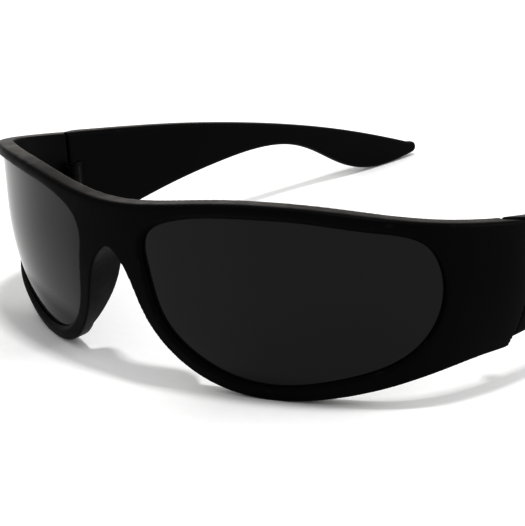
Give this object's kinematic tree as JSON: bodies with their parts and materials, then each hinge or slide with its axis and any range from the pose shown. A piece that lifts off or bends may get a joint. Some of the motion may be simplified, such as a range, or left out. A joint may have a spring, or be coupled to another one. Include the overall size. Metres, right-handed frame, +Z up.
{
  "type": "wraparound sport sunglasses",
  "caption": "Close-fitting wraparound sunglasses with wide tapering temples, a moulded nose saddle, curved smoke lenses and folding barrel hinges.",
  "frame": {"origin": "middle of the footprint at the height of the surface that the sunglasses stand on, temples open", "axes": "+Z up; the front faces -Y and the temples run back along +Y; +X is the wearer's left"},
  "size_m": [0.1368, 0.1712, 0.0399],
  "materials": {
    "frame_plastic": "fine satin black injection-moulded nylon",
    "lens_smoke": "polished smoke-tinted polycarbonate",
    "hinge_steel": "black oxide steel"
  },
  "bodies": {
    "front": {"frame_front": "frame_plastic", "lens_left": "lens_smoke", "lens_right": "lens_smoke", "hinge_front_leaf_left": "hinge_steel", "hinge_front_leaf_right": "hinge_steel", "hinge_screw_left": "hinge_steel", "hinge_screw_right": "hinge_steel"},
    "left_temple": {"temple_left": "frame_plastic", "hinge_temple_leaf_left": "hinge_steel"},
    "right_temple": {"temple_right": "frame_plastic", "hinge_temple_leaf_right": "hinge_steel"}
  },
  "joints": [
    {"name": "left_temple_fold", "type": "hinge", "parent": "front", "child": "left_temple", "pos_m": [0.0613, -0.0426, 0.0222], "axis": [0, 0, 1], "range_deg": [0, 93]},
    {"name": "right_temple_fold", "type": "hinge", "parent": "front", "child": "right_temple", "pos_m": [-0.0613, -0.0426, 0.0222], "axis": [0, 0, -1], "range_deg": [0, 86]}
  ]
}
